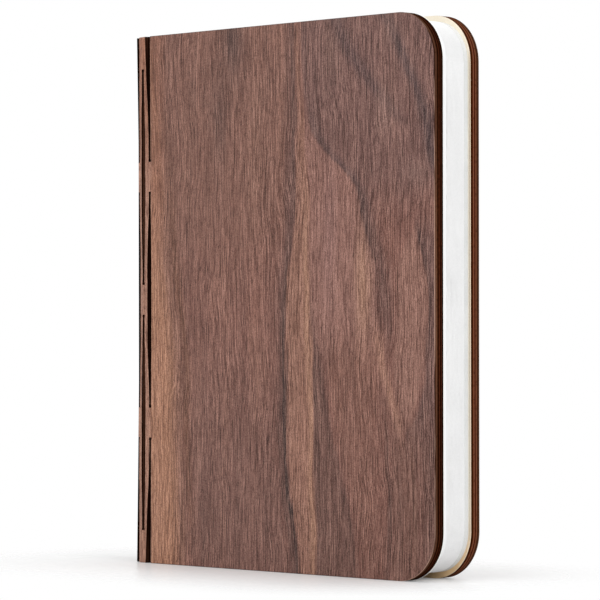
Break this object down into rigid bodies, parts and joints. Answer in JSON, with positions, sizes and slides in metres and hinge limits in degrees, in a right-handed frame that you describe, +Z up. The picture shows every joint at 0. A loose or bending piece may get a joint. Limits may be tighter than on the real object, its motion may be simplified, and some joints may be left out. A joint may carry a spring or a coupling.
{
  "type": "folding book lamp",
  "caption": "Lamp in the form of a closed book: veneered covers on a slit bending spine, folded white sheets that fan right round, and a light bar inside the spine.",
  "frame": {"origin": "centre of the closed book's footprint, on the surface that it stands on", "axes": "+Z up along the spine, +X from the spine to the fore-edge, -Y out of the front cover"},
  "size_m": [0.1724, 0.025, 0.215],
  "materials": {
    "veneered_plywood": "dark walnut veneer on plywood, low sheen, edges burnt dark by the laser",
    "lining_paper": "cream paper, matt",
    "card": "white grey card, matt",
    "sheet": "white fibre sheet, matt and slightly translucent",
    "magnet": "nickel plated",
    "tape": "double-sided foam tape",
    "white_plastic": "white plastic, satin",
    "diffuser_plastic": "milky diffusing plastic",
    "white_circuit_board": "white solder mask",
    "light_chip": "yellow phosphor",
    "cell_foil": "foil pouch, dull",
    "lead_insulation": "red insulation",
    "green_circuit_board": "green solder mask",
    "socket_metal": "stamped steel",
    "black_plastic": "black moulded plastic"
  },
  "bodies": {
    "core": {"spine_strip": "veneered_plywood", "bar_tape": "tape", "light_channel": "white_plastic", "light_diffuser": "diffuser_plastic", "led_board": "white_circuit_board", "led_chips": "light_chip", "battery_cells": "cell_foil", "battery_leads": "lead_insulation", "charge_board": "green_circuit_board", "usb_socket": "socket_metal", "magnet_switch": "black_plastic", "top_cap": "white_plastic", "bottom_cap": "white_plastic"},
    "front_stave_1": {"front_stave_1": "veneered_plywood"},
    "front_stave_2": {"front_stave_2": "veneered_plywood"},
    "front_stave_3": {"front_stave_3": "veneered_plywood"},
    "front_stave_4": {"front_stave_4": "veneered_plywood"},
    "front_cover": {"front_cover": "veneered_plywood", "front_lining": "lining_paper", "front_card": "card", "front_magnets": "magnet", "leaf_01": "sheet"},
    "back_stave_1": {"back_stave_1": "veneered_plywood"},
    "back_stave_2": {"back_stave_2": "veneered_plywood"},
    "back_stave_3": {"back_stave_3": "veneered_plywood"},
    "back_stave_4": {"back_stave_4": "veneered_plywood"},
    "back_cover": {"back_cover": "veneered_plywood", "back_lining": "lining_paper", "back_card": "card", "back_magnets": "magnet", "leaf_28": "sheet"},
    "leaf_02": {"leaf_02": "sheet"},
    "leaf_03": {"leaf_03": "sheet"},
    "leaf_04": {"leaf_04": "sheet"},
    "leaf_05": {"leaf_05": "sheet"},
    "leaf_06": {"leaf_06": "sheet"},
    "leaf_07": {"leaf_07": "sheet"},
    "leaf_08": {"leaf_08": "sheet"},
    "leaf_09": {"leaf_09": "sheet"},
    "leaf_10": {"leaf_10": "sheet"},
    "leaf_11": {"leaf_11": "sheet"},
    "leaf_12": {"leaf_12": "sheet"},
    "leaf_13": {"leaf_13": "sheet"},
    "leaf_14": {"leaf_14": "sheet"},
    "leaf_15": {"leaf_15": "sheet"},
    "leaf_16": {"leaf_16": "sheet"},
    "leaf_17": {"leaf_17": "sheet"},
    "leaf_18": {"leaf_18": "sheet"},
    "leaf_19": {"leaf_19": "sheet"},
    "leaf_20": {"leaf_20": "sheet"},
    "leaf_21": {"leaf_21": "sheet"},
    "leaf_22": {"leaf_22": "sheet"},
    "leaf_23": {"leaf_23": "sheet"},
    "leaf_24": {"leaf_24": "sheet"},
    "leaf_25": {"leaf_25": "sheet"},
    "leaf_26": {"leaf_26": "sheet"},
    "leaf_27": {"leaf_27": "sheet"}
  },
  "joints": [
    {"name": "front_spine_swing", "type": "hinge", "parent": "core", "child": "front_stave_2", "pos_m": [-0.0838, -0.00421, 0], "axis": [0, 0, -1], "range_deg": [0, 95.3]},
    {"name": "front_cover_swing", "type": "hinge", "parent": "front_stave_2", "child": "front_cover", "pos_m": [-0.07749, -0.0101, 0], "axis": [0, 0, -1], "range_deg": [0, 87.2]},
    {"name": "front_slit_1", "type": "hinge", "parent": "core", "child": "front_stave_1", "pos_m": [-0.0838, -0.00199, 0], "axis": [0, 0, -1], "range_deg": [0, 46.65]},
    {"name": "front_slit_3", "type": "hinge", "parent": "front_stave_2", "child": "front_stave_3", "pos_m": [-0.07933, -0.00838, 0], "axis": [0, 0, -1], "range_deg": [0, 48.67]},
    {"name": "front_slit_5", "type": "hinge", "parent": "front_cover", "child": "front_stave_4", "pos_m": [-0.07159, -0.0101, 0], "axis": [0, 0, 1], "range_deg": [0, 12.18]},
    {"name": "front_outer_fold_1", "type": "hinge", "parent": "front_cover", "child": "leaf_02", "pos_m": [0.0852, -0.00465, 0], "axis": [0, 0, -1], "range_deg": [0, 1.44]},
    {"name": "front_inner_fold_1", "type": "hinge", "parent": "leaf_02", "child": "leaf_03", "pos_m": [-0.0639, -0.00429, 0], "axis": [0, 0, 1], "range_deg": [0, 42.66]},
    {"name": "front_outer_fold_2", "type": "hinge", "parent": "leaf_03", "child": "leaf_04", "pos_m": [0.0852, -0.00393, 0], "axis": [0, 0, -1], "range_deg": [0, 1.67]},
    {"name": "front_inner_fold_2", "type": "hinge", "parent": "leaf_04", "child": "leaf_05", "pos_m": [-0.0639, -0.00357, 0], "axis": [0, 0, 1], "range_deg": [0, 35.95]},
    {"name": "front_outer_fold_3", "type": "hinge", "parent": "leaf_05", "child": "leaf_06", "pos_m": [0.0852, -0.00322, 0], "axis": [0, 0, -1], "range_deg": [0, 2.53]},
    {"name": "front_inner_fold_3", "type": "hinge", "parent": "leaf_06", "child": "leaf_07", "pos_m": [-0.0639, -0.00286, 0], "axis": [0, 0, 1], "range_deg": [0, 30.13]},
    {"name": "front_outer_fold_4", "type": "hinge", "parent": "leaf_07", "child": "leaf_08", "pos_m": [0.0852, -0.0025, 0], "axis": [0, 0, -1], "range_deg": [0, 3.91]},
    {"name": "front_inner_fold_4", "type": "hinge", "parent": "leaf_08", "child": "leaf_09", "pos_m": [-0.0639, -0.00214, 0], "axis": [0, 0, 1], "range_deg": [0, 26.47]},
    {"name": "front_outer_fold_5", "type": "hinge", "parent": "leaf_09", "child": "leaf_10", "pos_m": [0.0852, -0.00179, 0], "axis": [0, 0, -1], "range_deg": [0, 4.64]},
    {"name": "front_inner_fold_5", "type": "hinge", "parent": "leaf_10", "child": "leaf_11", "pos_m": [-0.0639, -0.00143, 0], "axis": [0, 0, 1], "range_deg": [0, 25.72]},
    {"name": "front_outer_fold_6", "type": "hinge", "parent": "leaf_11", "child": "leaf_12", "pos_m": [0.0852, -0.00107, 0], "axis": [0, 0, -1], "range_deg": [0, 4.13]},
    {"name": "front_inner_fold_6", "type": "hinge", "parent": "leaf_12", "child": "leaf_13", "pos_m": [-0.0639, -0.00071, 0], "axis": [0, 0, 1], "range_deg": [0, 27.46]},
    {"name": "front_outer_fold_7", "type": "hinge", "parent": "leaf_13", "child": "leaf_14", "pos_m": [0.0852, -0.00036, 0], "axis": [0, 0, -1], "range_deg": [0, 2.73]},
    {"name": "back_spine_swing", "type": "hinge", "parent": "core", "child": "back_stave_2", "pos_m": [-0.0838, 0.00421, 0], "axis": [0, 0, 1], "range_deg": [0, 95.3]},
    {"name": "back_cover_swing", "type": "hinge", "parent": "back_stave_2", "child": "back_cover", "pos_m": [-0.07749, 0.0101, 0], "axis": [0, 0, 1], "range_deg": [0, 87.2]},
    {"name": "back_slit_1", "type": "hinge", "parent": "core", "child": "back_stave_1", "pos_m": [-0.0838, 0.00199, 0], "axis": [0, 0, 1], "range_deg": [0, 46.65]},
    {"name": "back_slit_3", "type": "hinge", "parent": "back_stave_2", "child": "back_stave_3", "pos_m": [-0.07933, 0.00838, 0], "axis": [0, 0, 1], "range_deg": [0, 48.67]},
    {"name": "back_slit_5", "type": "hinge", "parent": "back_cover", "child": "back_stave_4", "pos_m": [-0.07159, 0.0101, 0], "axis": [0, 0, -1], "range_deg": [0, 12.18]},
    {"name": "back_outer_fold_1", "type": "hinge", "parent": "back_cover", "child": "leaf_27", "pos_m": [0.0852, 0.00465, 0], "axis": [0, 0, 1], "range_deg": [0, 1.44]},
    {"name": "back_inner_fold_1", "type": "hinge", "parent": "leaf_27", "child": "leaf_26", "pos_m": [-0.0639, 0.00429, 0], "axis": [0, 0, -1], "range_deg": [0, 42.66]},
    {"name": "back_outer_fold_2", "type": "hinge", "parent": "leaf_26", "child": "leaf_25", "pos_m": [0.0852, 0.00393, 0], "axis": [0, 0, 1], "range_deg": [0, 1.67]},
    {"name": "back_inner_fold_2", "type": "hinge", "parent": "leaf_25", "child": "leaf_24", "pos_m": [-0.0639, 0.00357, 0], "axis": [0, 0, -1], "range_deg": [0, 35.95]},
    {"name": "back_outer_fold_3", "type": "hinge", "parent": "leaf_24", "child": "leaf_23", "pos_m": [0.0852, 0.00322, 0], "axis": [0, 0, 1], "range_deg": [0, 2.53]},
    {"name": "back_inner_fold_3", "type": "hinge", "parent": "leaf_23", "child": "leaf_22", "pos_m": [-0.0639, 0.00286, 0], "axis": [0, 0, -1], "range_deg": [0, 30.13]},
    {"name": "back_outer_fold_4", "type": "hinge", "parent": "leaf_22", "child": "leaf_21", "pos_m": [0.0852, 0.0025, 0], "axis": [0, 0, 1], "range_deg": [0, 3.91]},
    {"name": "back_inner_fold_4", "type": "hinge", "parent": "leaf_21", "child": "leaf_20", "pos_m": [-0.0639, 0.00214, 0], "axis": [0, 0, -1], "range_deg": [0, 26.47]},
    {"name": "back_outer_fold_5", "type": "hinge", "parent": "leaf_20", "child": "leaf_19", "pos_m": [0.0852, 0.00179, 0], "axis": [0, 0, 1], "range_deg": [0, 4.64]},
    {"name": "back_inner_fold_5", "type": "hinge", "parent": "leaf_19", "child": "leaf_18", "pos_m": [-0.0639, 0.00143, 0], "axis": [0, 0, -1], "range_deg": [0, 25.72]},
    {"name": "back_outer_fold_6", "type": "hinge", "parent": "leaf_18", "child": "leaf_17", "pos_m": [0.0852, 0.00107, 0], "axis": [0, 0, 1], "range_deg": [0, 4.13]},
    {"name": "back_inner_fold_6", "type": "hinge", "parent": "leaf_17", "child": "leaf_16", "pos_m": [-0.0639, 0.00071, 0], "axis": [0, 0, -1], "range_deg": [0, 27.46]},
    {"name": "back_outer_fold_7", "type": "hinge", "parent": "leaf_16", "child": "leaf_15", "pos_m": [0.0852, 0.00036, 0], "axis": [0, 0, 1], "range_deg": [0, 2.73]}
  ],
  "couplings": [
    {"joint": "front_cover_swing", "follows": "front_spine_swing", "ratio": 0.91489},
    {"joint": "front_slit_1", "follows": "front_spine_swing", "ratio": 0.48936},
    {"joint": "front_slit_3", "follows": "front_spine_swing", "ratio": 0.51064},
    {"joint": "front_slit_5", "follows": "front_spine_swing", "ratio": 0.12766},
    {"joint": "front_outer_fold_1", "follows": "front_spine_swing", "ratio": 0.01501},
    {"joint": "front_inner_fold_1", "follows": "front_spine_swing", "ratio": 0.44753},
    {"joint": "front_outer_fold_2", "follows": "front_spine_swing", "ratio": 0.01742},
    {"joint": "front_inner_fold_2", "follows": "front_spine_swing", "ratio": 0.37712},
    {"joint": "front_outer_fold_3", "follows": "front_spine_swing", "ratio": 0.02644},
    {"joint": "front_inner_fold_3", "follows": "front_spine_swing", "ratio": 0.31605},
    {"joint": "front_outer_fold_4", "follows": "front_spine_swing", "ratio": 0.04092},
    {"joint": "front_inner_fold_4", "follows": "front_spine_swing", "ratio": 0.27765},
    {"joint": "front_outer_fold_5", "follows": "front_spine_swing", "ratio": 0.04858},
    {"joint": "front_inner_fold_5", "follows": "front_spine_swing", "ratio": 0.26978},
    {"joint": "front_outer_fold_6", "follows": "front_spine_swing", "ratio": 0.04323},
    {"joint": "front_inner_fold_6", "follows": "front_spine_swing", "ratio": 0.28804},
    {"joint": "front_outer_fold_7", "follows": "front_spine_swing", "ratio": 0.02854},
    {"joint": "back_cover_swing", "follows": "back_spine_swing", "ratio": 0.91489},
    {"joint": "back_slit_1", "follows": "back_spine_swing", "ratio": 0.48936},
    {"joint": "back_slit_3", "follows": "back_spine_swing", "ratio": 0.51064},
    {"joint": "back_slit_5", "follows": "back_spine_swing", "ratio": 0.12766},
    {"joint": "back_outer_fold_1", "follows": "back_spine_swing", "ratio": 0.01501},
    {"joint": "back_inner_fold_1", "follows": "back_spine_swing", "ratio": 0.44753},
    {"joint": "back_outer_fold_2", "follows": "back_spine_swing", "ratio": 0.01742},
    {"joint": "back_inner_fold_2", "follows": "back_spine_swing", "ratio": 0.37712},
    {"joint": "back_outer_fold_3", "follows": "back_spine_swing", "ratio": 0.02644},
    {"joint": "back_inner_fold_3", "follows": "back_spine_swing", "ratio": 0.31605},
    {"joint": "back_outer_fold_4", "follows": "back_spine_swing", "ratio": 0.04092},
    {"joint": "back_inner_fold_4", "follows": "back_spine_swing", "ratio": 0.27765},
    {"joint": "back_outer_fold_5", "follows": "back_spine_swing", "ratio": 0.04858},
    {"joint": "back_inner_fold_5", "follows": "back_spine_swing", "ratio": 0.26978},
    {"joint": "back_outer_fold_6", "follows": "back_spine_swing", "ratio": 0.04323},
    {"joint": "back_inner_fold_6", "follows": "back_spine_swing", "ratio": 0.28804},
    {"joint": "back_outer_fold_7", "follows": "back_spine_swing", "ratio": 0.02854}
  ]
}
